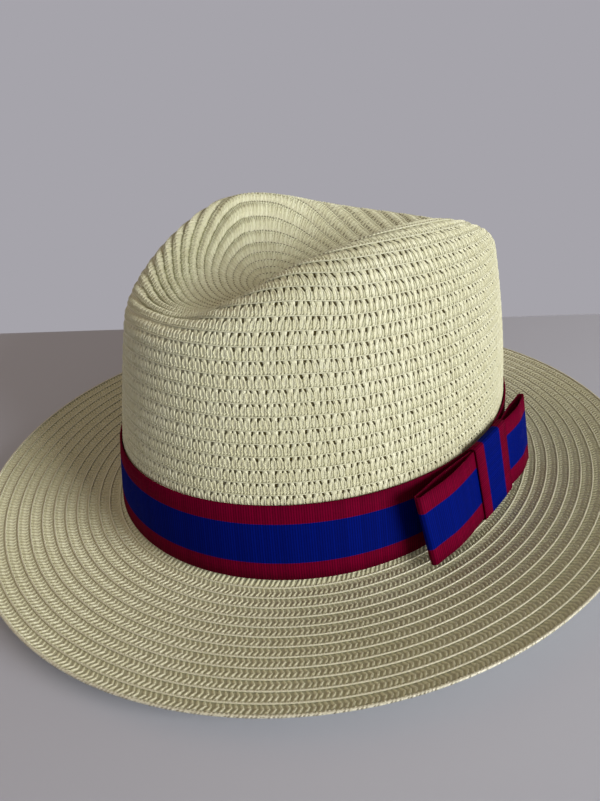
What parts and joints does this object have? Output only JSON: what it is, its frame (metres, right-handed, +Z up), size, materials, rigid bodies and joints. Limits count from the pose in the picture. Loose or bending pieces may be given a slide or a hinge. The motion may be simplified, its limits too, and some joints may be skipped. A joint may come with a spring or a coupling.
{
  "type": "straw fedora",
  "caption": "Braided straw fedora with a pinched teardrop crown, gently curled brim, striped ribbon band and flat side bow.",
  "frame": {"origin": "centre of the brim's outline, on the surface the hat rests on", "axes": "+X to the front of the hat, +Y to the wearer's left (the bow's side), +Z up"},
  "size_m": [0.3265, 0.2887, 0.1259],
  "materials": {
    "straw_body": "matt woven paper straw",
    "hat_band": "ribbed ribbon, maroon and blue stripes",
    "bow_loops": "ribbed ribbon, maroon and blue stripes",
    "bow_wrap": "ribbed ribbon, maroon and blue stripes"
  },
  "bodies": {
    "root": {"straw_body": "straw_body", "hat_band": "hat_band", "bow_loops": "bow_loops", "bow_wrap": "bow_wrap"}
  },
  "joints": []
}
